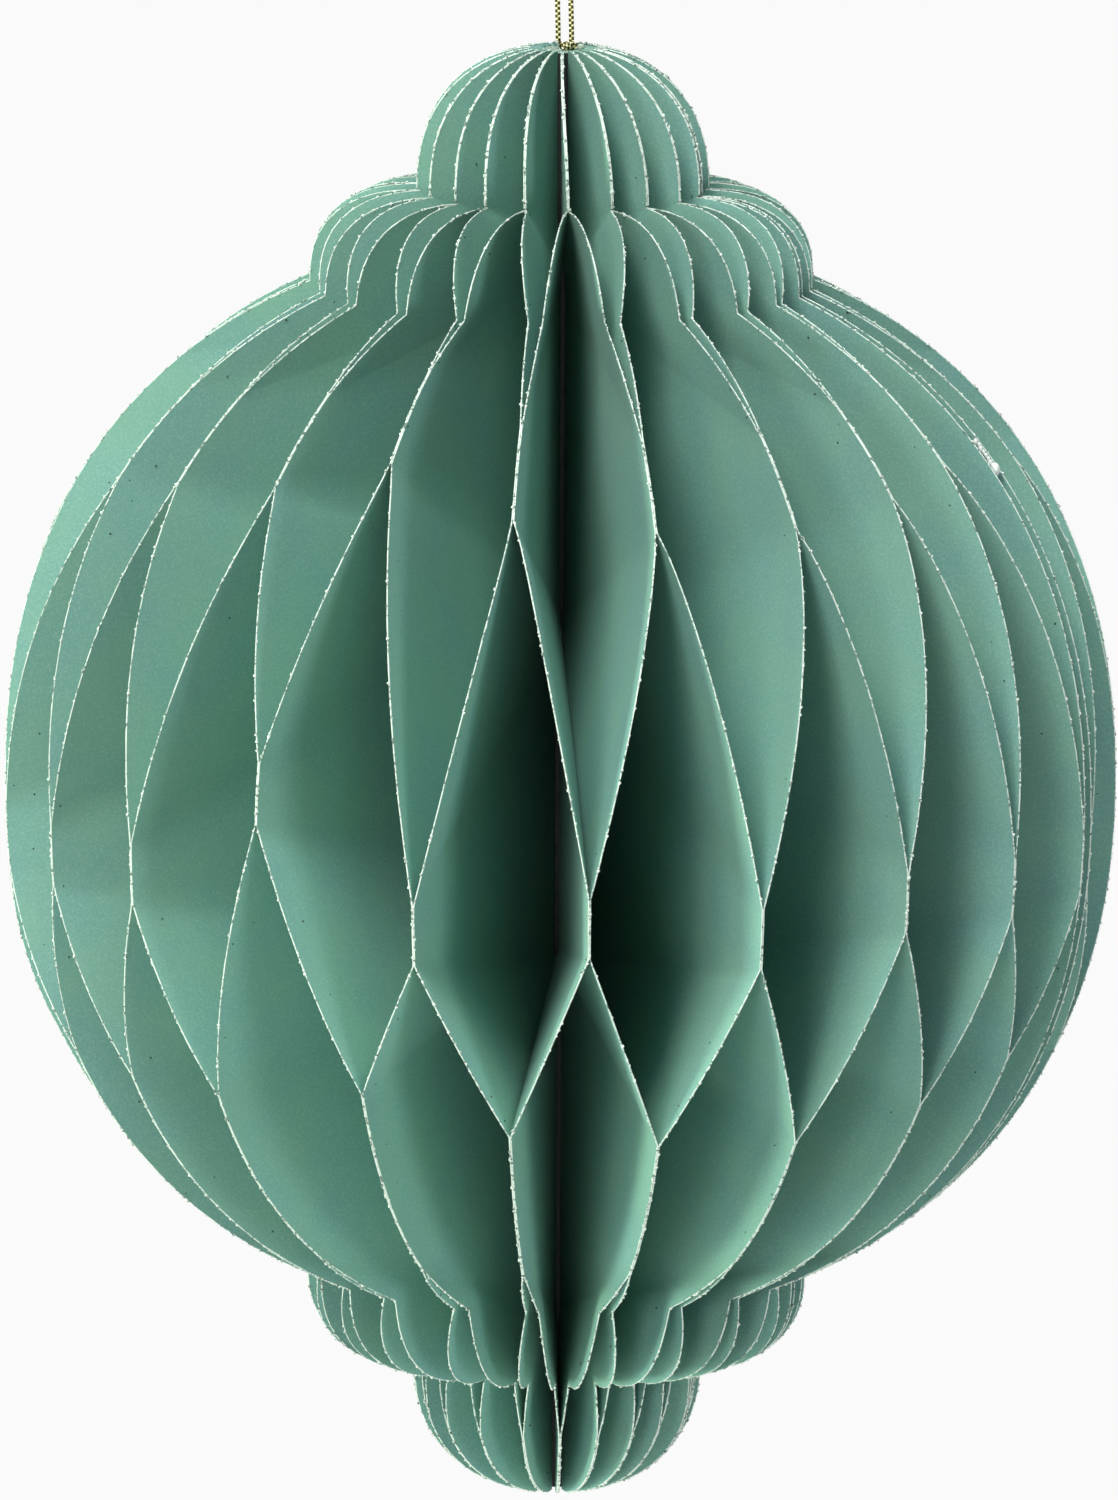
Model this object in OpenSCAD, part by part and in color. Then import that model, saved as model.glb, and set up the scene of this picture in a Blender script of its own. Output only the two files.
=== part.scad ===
// Paper onion ornament: die-cut leaves around a glued spine, glued in pairs at alternating heights,
// hung on a cord loop. The loop's inner top is the origin.
// Azimuth 0 faces -Y and azimuth 90 faces +X. Heights are along Z.

/* [Ball] */
// Radius of the ball at its widest
ball_r = 100; // [80:1:140]
// Height of the ball above its widest circle, up to the notch under the shoulder
ball_up = 90; // [88:1:120]
// Height of the ball below its widest circle, down to the notch over the scallop
ball_down = 89.5; // [88:0.5:120]
// Fullness of the ball's curve, where 2 is an ellipse
ball_full = 2.2; // [2:0.1:2.8]

/* [Dome and shoulder] */
// Radius of the top dome at its foot
dome_r = 26.2; // [20:0.1:32]
// Height of the top dome
dome_h = 26; // [20:0.5:34]
// Radius of the shoulder under the dome
shoulder_r = 45.2; // [40:0.1:55]
// Height of the shoulder
shoulder_h = 17; // [12:0.5:24]

/* [Scallop and tail] */
// Radius of the scallop under the ball
scallop_r = 45; // [40:0.1:55]
// Height of the scallop
scallop_h = 17; // [12:0.5:24]
// Radius of the tail dome at its top
tail_r = 26; // [20:0.1:32]
// Height of the tail dome
tail_h = 24.5; // [20:0.5:34]

/* [Curves] */
// Fullness of the two domes, where 2 is an ellipse
dome_full = 2.3; // [2:0.1:3]
// Fullness of the shoulder and the scallop
shoulder_full = 2.5; // [2:0.1:3]
// Depth of the nick where a dome meets the shoulder or the scallop
notch = 0.6; // [0.2:0.1:1.5]

/* [Leaves] */
// Thickness of the paper
leaf_t = 0.25; // [0.15:0.01:0.4]
// Film of glue between two leaves, and between a leaf and the spine
glue_t = 0.02; // [0.01:0.01:0.05]
// Number of cells around each row
cells = 21; // [18:1:24]
// Glue on the spine, around the leaves' inner edges
spine_glue = 0.3; // [0.2:0.1:1]
// How far the spine's ends lie inside the paper's ends
spine_sink = 0.8; // [0.5:0.1:1.5]

/* [Seam] */
// Azimuth of the seam where the first leaf meets the last one
seam_angle = 70.8; // [0:0.1:360]
// Angle between the seam's two flat leaves
seam_open = 2; // [0:0.5:6]

/* [Glue lines] */
// Upper end of the upper glue lines, above the ball's widest circle
upper_top = 75.5; // [72:0.5:78]
// Length of the upper glue lines
upper_len = 14.5; // [10:0.5:20]
// Upper end of the middle glue lines, below the ball's widest circle
middle_top = 3.5; // [0:0.5:8]
// Length of the middle glue lines
middle_len = 11; // [8:0.5:14]
// Upper end of the lower glue lines, below the ball's widest circle
lower_top = 47.5; // [44:0.5:52]
// Length of the lower glue lines
lower_len = 31.5; // [24:0.5:34]
// Upper end of the tail's glue lines, below the tail's top
tail_glue = 10; // [6:0.5:16]

/* [Hanging loop] */
// Diameter of the cord
cord_d = 1; // [0.8:0.1:1.1]
// Height from the paper's top to the inner top of the loop
loop_h = 18; // [17:0.5:40]
// Radius of the knot that holds the cord
knot_r = 2.4; // [2.2:0.1:2.7]
// Height of the knot
knot_h = 1.6; // [1.2:0.1:2]

/* [Hidden] */
top = -loop_h;
neck = top - dome_h;
collar = neck - shoulder_h;
middle = collar - ball_up;
waist = middle - ball_down;
hip = waist - scallop_h;
tip = hip - tail_h;
leaf_count = 2 * cells;
leaf_names = [for (j = [1:leaf_count]) str("leaf_", j < 10 ? "0" : "", j)];
paper = "#7fae9b";
glue_colour = "#5d8a79";
gold = "#a08a45";

// Angle from one glue line to the next
pitch = (360 - seam_open) / leaf_count;
// Room that a leaf and the glue beside it take up
leaf_room = leaf_t + glue_t;
// The spine is as thick as the leaves need, so that none meets its neighbour beside it
spine_r = 2 * leaf_room / sin(pitch) + spine_glue;
inner_r = spine_r + glue_t;
// The outline starts and ends here, where a leaf's top and bottom edges stand beside the spine
start_r = spine_r + 2;

// The leaves are opened by hand, so the glue lines that face the front stray from even spacing.
// Each list runs from the seam towards the left: degrees of azimuth, then millimetres of height.
dome_stray = [0.5, -0.2, 1.3, 0.7, 0.7, 0.9, 2.8, 2];
upper_stray = [-2.5, 1.5, 2.5, 1.5, 1, 0.5, 2, 2, 4.5];
middle_stray = [1.5, 2.5, 2.5, 1.5, 0.5, 0, 0, 1.5];
lower_stray = [-1, 1.5, 1.5, 1.5, 1.5, 2, -0.5, 1.5, 4];
tail_stray = [-3.9, -1.4, -0.8, -0.1, 1.2, -1.7, -3.4, -1.5];
upper_shift = [4, 0, -3, -2, 0, 8, 2, 0, -2];
middle_shift = [0, 1, -3, 0, -2, 21, 3, 2];
lower_shift = [5, 0, -4, -3, -1, 6, 2, 2, 2];
no_shift = [0];
// Degrees by which the dome's leaves are turned to the left at their top, along the same glue lines
dome_turn = [2, 3.4, 3.4, 3.4, 3.4, 3.4, 3.4, 2];
// How early that turn starts over the dome's foot: evenly at 1 and late over 1
dome_swing = 1.5;
// How far under the dome's foot its lowest rungs would reach the spine, alike on all leaves
dome_reach = 8;
// How a leaf swings from each row to the next: evenly at 1, early under 1 and late over 1
odd_swing = [0.7, 0.85, 1, 0.78];
even_swing = [0.7, 1.2, 1, 0.78];

// Steps along each stretch of the outline, with the ball's from notch to notch
dome_steps = 4;
shoulder_steps = 3;
ball_steps = [3, 1, 4, 1, 3, 2, 2];
// Shares of the tail's glued height at which its outline has a point
tail_shares = [0, 0.5, 0.85];

// The cord's route from foot to foot, over the loop that it hangs by
cord_rise = [
    [-0.9, -15.5], [-0.95, -13.5], [-1, -11.5], [-1.05, -9.5], [-1.25, -7.5], [-1.65, -5.5],
    [-2.1, -3.6], [-2.3, -1.8], [-2, -0.65], [-1.15, 0.2], [0, 0.5], [1.15, 0.2], [2, -0.65],
    [2.3, -1.8], [2.1, -3.6], [1.75, -5.5], [1.45, -7.5], [1.35, -9.5], [1.4, -11.5], [1.45, -13.5],
    [1.5, -15.5]];
cord_sides = 8;
knot_x = 0.8;
knot_edge = 0.3;
knot_top = top - spine_sink + knot_h;

function mix(a, b, share) = a + (b - a) * share;

// Azimuth of glue line i, counted from the seam towards the left
function line_angle(i) = seam_angle - seam_open / 2 - i * pitch;

// The entry of a list for glue line i, or 0 past its end
function own(list, i) =
    let (k = i % 2 == 1 ? (i - 1) / 2 : i / 2 - 1)
    i > 0 && i < leaf_count && k < len(list) ? list[k] : 0;

// The rows of glue lines are, from the top: dome, upper, middle, lower, tail
function row_top(row) =
    [top, middle + upper_top, middle - middle_top, middle - lower_top, hip - tail_glue][row];
function row_end(row) =
    [neck, row_top(1) - upper_len, row_top(2) - middle_len, row_top(3) - lower_len, tip][row];
function stray(row) = [dome_stray, upper_stray, middle_stray, lower_stray, tail_stray][row];
function shift(row) = [no_shift, upper_shift, middle_shift, lower_shift, no_shift][row];

// Leaf j lies between glue lines j - 1 and j, and keeps to one of them in each row
function line_of(j, row) = (j - 1) % 2 == row % 2 ? j - 1 : j;
function glue_top(j, row) = row_top(row) + own(shift(row), line_of(j, row));
// The lower glue lines keep their foot where it is
function glue_end(j, row) = row_end(row) + (row == 3 ? 0 : own(shift(row), line_of(j, row)));
function glue_angle(j, row) =
    let (i = line_of(j, row))
    line_angle(i) + own(stray(row), i);
// From the glue line's plane to the leaf's middle: beside the seam, its flat leaf lies between them
function glue_side(j, row) =
    let (i = line_of(j, row), side = i == j ? 1 : -1, by_seam = i == 0 || i == leaf_count)
    side * (leaf_room / 2 + (by_seam ? leaf_room : 0));

// Radius at height z of the ball, and of the tail
function ball_half(edge_r, edge_h) = edge_h / pow(1 - pow(edge_r / ball_r, ball_full), 1 / ball_full);
function ball_radius(z) =
    let (half = z > middle ? ball_half(shoulder_r, ball_up) : ball_half(scallop_r, ball_down))
    ball_r * pow(1 - pow(abs(z - middle) / half, ball_full), 1 / ball_full);
function tail_radius(z) = tail_r * pow(1 - pow((hip - z) / tail_h, dome_full), 1 / dome_full);

// Height of the dome's and the tail's curve over their foot, at radius r
function dome_rise(r, foot_r, height) = height * pow(1 - pow(r / foot_r, dome_full), 1 / dome_full);

// Quarter of a full curve that starts level and ends upright
function falling(r0, r1, z0, z1, full, steps, first) =
    [for (k = [first:steps])
        let (a = 90 * k / steps)
        [mix(r0, r1, pow(sin(a), 2 / full)), mix(z1, z0, pow(cos(a), 2 / full))]];

// Quarter of a full curve that starts upright and ends level
function closing(r0, r1, z0, z1, full, steps) =
    [for (k = [0:steps])
        let (a = 90 * k / steps)
        [mix(r1, r0, pow(cos(a), 2 / full)), mix(z0, z1, pow(sin(a), 2 / full))]];

// Heights along the ball below its upper notch, with one at both ends of each glue line
function ball_heights(j) =
    let (
        stops = [collar, glue_top(j, 1), glue_end(j, 1), glue_top(j, 2), glue_end(j, 2),
                 glue_top(j, 3), glue_end(j, 3), waist],
        last = len(ball_steps) - 1)
    [for (k = [0:last], n = [1:ball_steps[k]])
        if (k < last || n < ball_steps[k]) mix(stops[k], stops[k + 1], n / ball_steps[k])];

// Parts of the outline of leaf j from the top down, as [radius, height]
dome_line = concat(
    [[start_r, neck + dome_rise(start_r, dome_r, dome_h)]],
    falling(0, dome_r, top, neck + notch, dome_full, dome_steps, 1));
shoulder_line = falling(dome_r - notch, shoulder_r, neck, collar, shoulder_full, shoulder_steps, 0);
scallop_line = closing(scallop_r, tail_r - notch, waist, hip, shoulder_full, shoulder_steps);
function body_line(j) = concat(
    shoulder_line,
    [for (z = ball_heights(j)) [ball_radius(z), z]],
    scallop_line,
    [[tail_radius(hip - notch), hip - notch]]);
tail_line = concat(
    [for (share = tail_shares) let (z = hip - mix(tail_glue, tail_h, share)) [tail_radius(z), z]],
    [[start_r, hip - dome_rise(start_r, tail_r, tail_h)]]);
function outline(j) = concat(dome_line, body_line(j), tail_line);

// The outline's points where a leaf lies against one row's glue line first and last
function row_start(j, row) =
    let (z = glue_top(j, row))
    [row == 4 ? tail_radius(z) : ball_radius(z), z];
function row_stop(j, row) =
    let (z = glue_end(j, row))
    [row == 0 ? dome_r - notch : ball_radius(z), z];

// A turn is the stretch in which a leaf swings from one row's glue line to the next one's.
// It is part of a cone: its rungs all point at one spot on the axis, halfway between the two lines.
function turn_spot(j, row) = (glue_end(j, row) + glue_top(j, row + 1)) / 2;
function rise(p, spot) = (p[1] - spot) / p[0];
function swing(j, row) = (j % 2 == 1 ? odd_swing : even_swing)[row];

// Share of a row's turn that the leaf has made at the outline's point p
function turned(j, row, p) =
    let (
        spot = turn_spot(j, row),
        first = rise(row_stop(j, row), spot),
        last = rise(row_start(j, row + 1), spot),
        share = (first - rise(p, spot)) / (first - last))
    pow(min(1, max(0, share)), swing(j, row));

// Degrees by which leaf j is turned at the outline's point p, over the dome's foot
function dome_turned(j, p) =
    own(dome_turn, line_of(j, 0)) * pow(max(0, (p[1] - neck) / dome_h), dome_swing);

// Azimuth of leaf j at the outline's point p, and the leaf's distance from that azimuth's plane
function leaf_angle(j, p, row = 0) =
    row == 4 ? glue_angle(j, 0) - dome_turned(j, p)
    : (glue_angle(j, row + 1) - glue_angle(j, row)) * turned(j, row, p) + leaf_angle(j, p, row + 1);
function leaf_side(j, p, row = 0) =
    row == 4 ? glue_side(j, 0)
    : (glue_side(j, row + 1) - glue_side(j, row)) * turned(j, row, p) + leaf_side(j, p, row + 1);

// Height at the spine of the rung to the outline's point p, in a row's turn
function rung_foot(j, row, p) =
    let (spot = turn_spot(j, row))
    spot + rise(p, spot) * inner_r;

// The same anywhere between the dome's nick and the tail's glue lines
function body_foot(j, p) =
    let (row = len([for (k = [1:3]) if (p[1] <= glue_end(j, k)) k]))
    p[1] >= glue_top(j, row + 1)
        ? rung_foot(j, row, p)
        : let (start = row_start(j, row + 1), stop = row_stop(j, row + 1))
          mix(rung_foot(j, row, start), rung_foot(j, row + 1, stop),
              (start[1] - p[1]) / (start[1] - stop[1]));

// Heights at the spine of all rungs of leaf j, evenly spaced within the dome and the tail
function rung_feet(j) =
    let (
        tail_foot = rung_foot(j, 3, row_start(j, 4)),
        dome_last = len(dome_line),
        tail_last = len(tail_line) - 1)
    concat(
        [for (k = [0:dome_last - 1]) mix(dome_line[0][1], neck - dome_reach, k / dome_last)],
        [for (p = body_line(j)) body_foot(j, p)],
        [for (k = [0:tail_last]) mix(tail_foot, tail_line[tail_last][1], k / tail_last)]);

// Point at a radius and height, off to one side of the plane of an azimuth
function spot_at(angle, r, side, z) =
    [r * sin(angle) + side * cos(angle), side * sin(angle) - r * cos(angle), z];

// Triangles along a strip of quads from each row of four points to the next
function strip(a, b, last) =
    [for (k = [0:last - 1]) for (face = [[a + 4 * k, b + 4 * k, b + 4 * k + 4],
                                         [a + 4 * k, b + 4 * k + 4, a + 4 * k + 4]]) face];

// A leaf that zigzags between its two glue lines, as rungs from the outline to the spine
module leaf(j) {
    line = outline(j);
    feet = rung_feet(j);
    last = len(line) - 1;
    points = [for (k = [0:last])
        let (angle = leaf_angle(j, line[k]), side = leaf_side(j, line[k]), half = leaf_t / 2)
        for (q = [[line[k][0], half, line[k][1]], [line[k][0], -half, line[k][1]],
                  [inner_r, -half, feet[k]], [inner_r, half, feet[k]]])
            spot_at(angle, q[0], side + q[1], q[2])];
    faces = concat(
        [[0, 1, 2], [0, 2, 3]],
        strip(1, 0, last),
        strip(2, 1, last),
        strip(3, 2, last),
        strip(0, 3, last),
        [[4 * last + 2, 4 * last + 1, 4 * last], [4 * last + 3, 4 * last + 2, 4 * last]]);
    color(paper)
        polyhedron(points, faces);
}

// A flat leaf in the plane of an azimuth, off to one side by half the glue's thickness
module seam_leaf(angle, side) {
    line = outline(side > 0 ? leaf_count : 1);
    last = len(line) - 1;
    color(paper)
        rotate([90, 0, angle - 90])
            translate([0, 0, side > 0 ? -leaf_t - glue_t / 2 : glue_t / 2])
                linear_extrude(leaf_t)
                    polygon(concat(line, [[inner_r, line[last][1]], [inner_r, line[0][1]]]));
}

module seam_leaf_left() {
    seam_leaf(seam_angle - seam_open / 2, -1);
}

module seam_leaf_right() {
    seam_leaf(seam_angle + seam_open / 2, 1);
}

module spine() {
    color(glue_colour)
        translate([0, 0, tip + spine_sink])
            cylinder(h = top - tip - 2 * spine_sink, r = spine_r, $fn = 48);
}

// A flat round knot on the spine's top, with eased edges
module cord_knot() {
    edge = [for (k = [0:2])
        let (a = 45 * k)
        [knot_r - knot_edge * (1 - cos(a)), knot_edge * sin(a)]];
    color(gold)
        translate([knot_x, 0, knot_top - knot_h])
            rotate_extrude($fn = 24)
                polygon(concat(
                    [[0, 0]],
                    [for (k = [2:-1:0]) [edge[k][0], knot_edge - edge[k][1]]],
                    [for (p = edge) [p[0], knot_h - knot_edge + p[1]]],
                    [[0, knot_h]]));
}

// The cord's rings stand square to its route, and the first and last lie flat on the knot
module hanging_cord() {
    route = concat(
        [[cord_rise[0][0], knot_top]],
        cord_rise,
        [[cord_rise[len(cord_rise) - 1][0], knot_top]]);
    last = len(route) - 1;
    points = [for (k = [0:last])
        let (way = route[min(k + 1, last)] - route[max(k - 1, 0)], along = way / norm(way))
        for (n = [0:cord_sides - 1])
            let (a = 360 * n / cord_sides, across = cord_d / 2 * cos(a))
            [route[k][0] + across * along[1], cord_d / 2 * sin(a), route[k][1] - across * along[0]]];
    faces = concat(
        [[for (n = [0:cord_sides - 1]) n]],
        [for (k = [0:last - 1], n = [0:cord_sides - 1])
            let (a = k * cord_sides + n, b = k * cord_sides + (n + 1) % cord_sides)
            for (face = [[a, a + cord_sides, b + cord_sides], [a, b + cord_sides, b]]) face],
        [[for (n = [cord_sides - 1:-1:0]) last * cord_sides + n]]);
    color(gold)
        polyhedron(points, faces);
}

spine();
cord_knot();
hanging_cord();
seam_leaf_left();
seam_leaf_right();
for (j = [1:leaf_count])
    leaf(j);
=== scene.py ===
import math
import random

import bmesh
import bpy
from bpy.props import FloatProperty, FloatVectorProperty, IntProperty, PointerProperty
from mathutils import Matrix, Quaternion, Vector


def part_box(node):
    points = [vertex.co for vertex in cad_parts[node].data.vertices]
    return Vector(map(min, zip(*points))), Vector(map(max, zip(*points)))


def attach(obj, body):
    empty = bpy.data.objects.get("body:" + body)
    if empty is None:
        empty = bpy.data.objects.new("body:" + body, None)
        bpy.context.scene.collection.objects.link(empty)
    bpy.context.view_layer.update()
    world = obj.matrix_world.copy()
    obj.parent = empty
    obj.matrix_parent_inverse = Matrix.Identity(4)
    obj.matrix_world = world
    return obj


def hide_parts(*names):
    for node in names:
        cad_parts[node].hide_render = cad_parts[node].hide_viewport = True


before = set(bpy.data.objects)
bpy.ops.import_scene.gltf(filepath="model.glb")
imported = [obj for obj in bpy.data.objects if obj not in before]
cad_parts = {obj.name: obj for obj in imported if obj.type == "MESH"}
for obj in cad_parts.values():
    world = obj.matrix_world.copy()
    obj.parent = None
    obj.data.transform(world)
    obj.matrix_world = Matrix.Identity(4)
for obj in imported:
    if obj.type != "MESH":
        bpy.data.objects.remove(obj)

bl_info = {
    "name": "Paper Onion Ornament",
    "version": (1, 0, 0),
    "blender": (4, 5, 0),
    "location": "View3D > Sidebar > Ornament",
    "description": "Paper honeycomb ornament of die-cut leaves with glittered edges on a gold cord",
    "category": "Object",
}

MM = 0.001

# Degrees of azimuth and millimetres of height by which the front glue lines stray, from the seam on
DOME_STRAY = [0.5, -0.2, 1.3, 0.7, 0.7, 0.9, 2.8, 2]
UPPER_STRAY = [-2.5, 1.5, 2.5, 1.5, 1, 0.5, 2, 2, 4.5]
MIDDLE_STRAY = [1.5, 2.5, 2.5, 1.5, 0.5, 0, 0, 1.5]
LOWER_STRAY = [-1, 1.5, 1.5, 1.5, 1.5, 2, -0.5, 1.5, 4]
TAIL_STRAY = [-3.9, -1.4, -0.8, -0.1, 1.2, -1.7, -3.4, -1.5]
UPPER_SHIFT = [4, 0, -3, -2, 0, 8, 2, 0, -2]
MIDDLE_SHIFT = [0, 1, -3, 0, -2, 21, 3, 2]
LOWER_SHIFT = [5, 0, -4, -3, -1, 6, 2, 2, 2]
STRAY = [DOME_STRAY, UPPER_STRAY, MIDDLE_STRAY, LOWER_STRAY, TAIL_STRAY]
SHIFT = [[], UPPER_SHIFT, MIDDLE_SHIFT, LOWER_SHIFT, []]
# Degrees by which the dome's leaves are turned to the left at their top
DOME_TURN = [2, 3.4, 3.4, 3.4, 3.4, 3.4, 3.4, 2]
# How early that turn starts over the dome's foot: evenly at 1 and late over 1
DOME_SWING = 1.5
# Millimetres under the dome's foot at which its lowest rungs would reach the spine
DOME_REACH = 8
# Steps of the outline's curves, and of the ball from each end of a glue line to the next
DOME_STEPS, SHOULDER_STEPS, TAIL_STEPS, SCALLOP_STEPS = 18, 14, 16, 14
BALL_STEPS = (12, 5, 20, 4, 14, 10, 5)
# Millimetres from the spine to the outline's two ends, and the least from those to its next point
END_GAP = 2
END_STEP = 0.3
# Faces of a leaf from its outline to the spine
LEAF_BANDS = 5
# How a leaf swings from each row to the next: evenly at 1, early under 1 and late over 1
ODD_SWING = [0.7, 0.85, 1, 0.78]
EVEN_SWING = [0.7, 1.2, 1, 0.78]

# The cord's route from foot to foot, in metres, as in the model's own source
CORD_ROUTE = [
    (-0.0009, 0, -0.0172), (-0.0009, 0, -0.0155), (-0.00095, 0, -0.0135), (-0.001, 0, -0.0115),
    (-0.00105, 0, -0.0095), (-0.00125, 0, -0.0075), (-0.00165, 0, -0.0055), (-0.0021, 0, -0.0036),
    (-0.0023, 0, -0.0018), (-0.002, 0, -0.00065), (-0.00115, 0, 0.0002), (0, 0, 0.0005),
    (0.00115, 0, 0.0002), (0.002, 0, -0.00065), (0.0023, 0, -0.0018), (0.0021, 0, -0.0036),
    (0.00175, 0, -0.0055), (0.00145, 0, -0.0075), (0.00135, 0, -0.0095), (0.0014, 0, -0.0115),
    (0.00145, 0, -0.0135), (0.0015, 0, -0.0155), (0.0015, 0, -0.0172)]
# Steps of the cord from each point of its route to the next, and sides of its round section
CORD_STEPS = 12
CORD_SIDES = 16
# The cord's core and how far its loops stand out of it, as shares of its radius
CORD_CORE = 0.93
CORD_LOOPS = 0.1
# The knot's scale, its height as a share of it and its cord's thickness, in millimetres
KNOT_STEPS = 120
KNOT_SIZE = 0.5
KNOT_HEIGHT = 0.75
KNOT_CORD = 0.95

# Sides of the glitter's band, how its width varies and its width at the two ends
BAND_SIDES = 6
BAND_WIDTHS = (0.8, 1.25)
BAND_END = 0.4
# Grains as shares of their usual width, lumps as a multiple of it, and how far grains lean, in radians
GRAIN_WIDTHS = (0.7, 1.2)
LUMP_WIDTH = 3
GRAIN_LEAN = 1.1
# Stray grains: millimetres from the cut edge, and widths as multiples of a grain's usual width
STRAY_REACH = (0.6, 7)
STRAY_WIDTHS = (1.4, 2.4)
# Grains on the spine's top and their widths, and the radius of the lump beside the knot, in millimetres
CAP_GRAINS = 150
CAP_WIDTHS = (0.3, 0.7)
CAP_LUMP = 0.75
# Drop of glue by the seam, in millimetres: height over the widest circle, lumps of its streak, and radii
DROP_HEIGHT = 61
DROP_STEP = 0.6
DROP_LUMPS = 9
DROP_WIDTH = 0.85
STREAK_WIDTHS = (0.35, 0.5)

# The soft boxes' width and their distance from the ball's middle, in metres
BOX_WIDTH = 0.5
BOX_REACH = 1.6
# Half of the floor's width in metres, and the share of plain white in it where the camera sees it
FLOOR_HALF = 30
FLOOR_WHITE = 0.95
# Width of the camera's sensor, and what the picture's long side takes in at the ornament, in millimetres
SENSOR = 36
VIEW_HEIGHT = 270
# Millimetres from the ball's middle to the picture's middle
AIM = (-0.12, 0, 4.6)

# Sockets of the colours A and B of a mix node, and of its colour result
MIX_A, MIX_B, MIX_RESULT = 6, 7, 2
WHITE = (1, 1, 1, 1)
# Order of the glitters in a glittered edge; the dark one is painted shade on the stray grains
EDGE_GLITTERS = ("silver", "thin", "dark")


def linear(colour):
    """An sRGB hex colour as linear red, green, blue and alpha."""
    channels = [int(colour[k:k + 2], 16) / 255 for k in (1, 3, 5)]
    return tuple(c / 12.92 if c <= 0.04045 else ((c + 0.055) / 1.055) ** 2.4 for c in channels) + (1,)


def mix(a, b, share):
    """The value at a share of the way from a to b."""
    return a + (b - a) * share


def number(name, text, value, low, high):
    """A number for the sidebar, in millimetres unless its text says otherwise."""
    return FloatProperty(name=name, description=text, default=value, min=low, max=high, precision=2)


def tint(name, text, colour):
    """A colour for the sidebar, from its sRGB hex value."""
    return FloatVectorProperty(name=name, description=text, subtype="COLOR", size=4, min=0, max=1,
                               default=linear(colour))


class OrnamentSizes(bpy.types.PropertyGroup):
    """Millimetres and degrees of the die-cut leaves and of their glue lines."""
    ball_r: number("Ball radius", "Radius of the ball at its widest", 100, 80, 140)
    ball_up: number("Ball, upper part", "From the widest circle up to the notch", 90, 88, 120)
    ball_down: number("Ball, lower part", "From the widest circle down to the notch", 89.5, 88, 120)
    ball_full: number("Ball fullness", "2 is an ellipse", 2.2, 2, 2.8)
    dome_r: number("Dome radius", "Radius of the top dome at its foot", 26.2, 20, 32)
    dome_h: number("Dome height", "Height of the top dome", 26, 20, 34)
    shoulder_r: number("Shoulder radius", "Radius of the shoulder under the dome", 45.2, 40, 55)
    shoulder_h: number("Shoulder height", "Height of the shoulder", 17, 12, 24)
    scallop_r: number("Scallop radius", "Radius of the scallop under the ball", 45, 40, 55)
    scallop_h: number("Scallop height", "Height of the scallop", 17, 12, 24)
    tail_r: number("Tail radius", "Radius of the tail dome at its top", 26, 20, 32)
    tail_h: number("Tail height", "Height of the tail dome", 24.5, 20, 34)
    dome_full: number("Dome fullness", "Of both domes, where 2 is an ellipse", 2.3, 2, 3)
    shoulder_full: number("Shoulder fullness", "Of shoulder and scallop", 2.5, 2, 3)
    notch: number("Notch", "Depth of the nick beside a dome", 0.6, 0.2, 1.5)
    leaf_t: number("Paper", "Thickness of the paper", 0.25, 0.15, 0.4)
    glue_t: number("Glue", "Film of glue between two leaves", 0.02, 0.01, 0.05)
    cells: IntProperty(name="Cells", description="Cells around each row", default=21, min=18, max=24)
    spine_glue: number("Spine glue", "Glue around the leaves' inner edges", 0.3, 0.2, 1)
    seam_angle: number("Seam", "Azimuth of the seam in degrees", 70.8, 0, 360)
    seam_open: number("Seam opening", "Degrees between the seam's flat leaves", 2, 0, 6)
    upper_top: number("Upper glue", "Its top over the widest circle", 75.5, 72, 78)
    upper_len: number("Upper glue length", "Length of the upper glue lines", 14.5, 10, 20)
    middle_top: number("Middle glue", "Its top under the widest circle", 3.5, 0, 8)
    middle_len: number("Middle glue length", "Length of the middle glue lines", 11, 8, 14)
    lower_top: number("Lower glue", "Its top under the widest circle", 47.5, 44, 52)
    lower_len: number("Lower glue length", "Length of the lower glue lines", 31.5, 24, 34)
    tail_glue: number("Tail glue", "Its top under the tail's top", 10, 6, 16)
    loop_h: number("Loop height", "From the paper's top to the inner top of the loop", 18, 17, 40)
    cord_d: number("Cord", "Diameter of the cord", 1, 0.8, 1.1)


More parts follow.
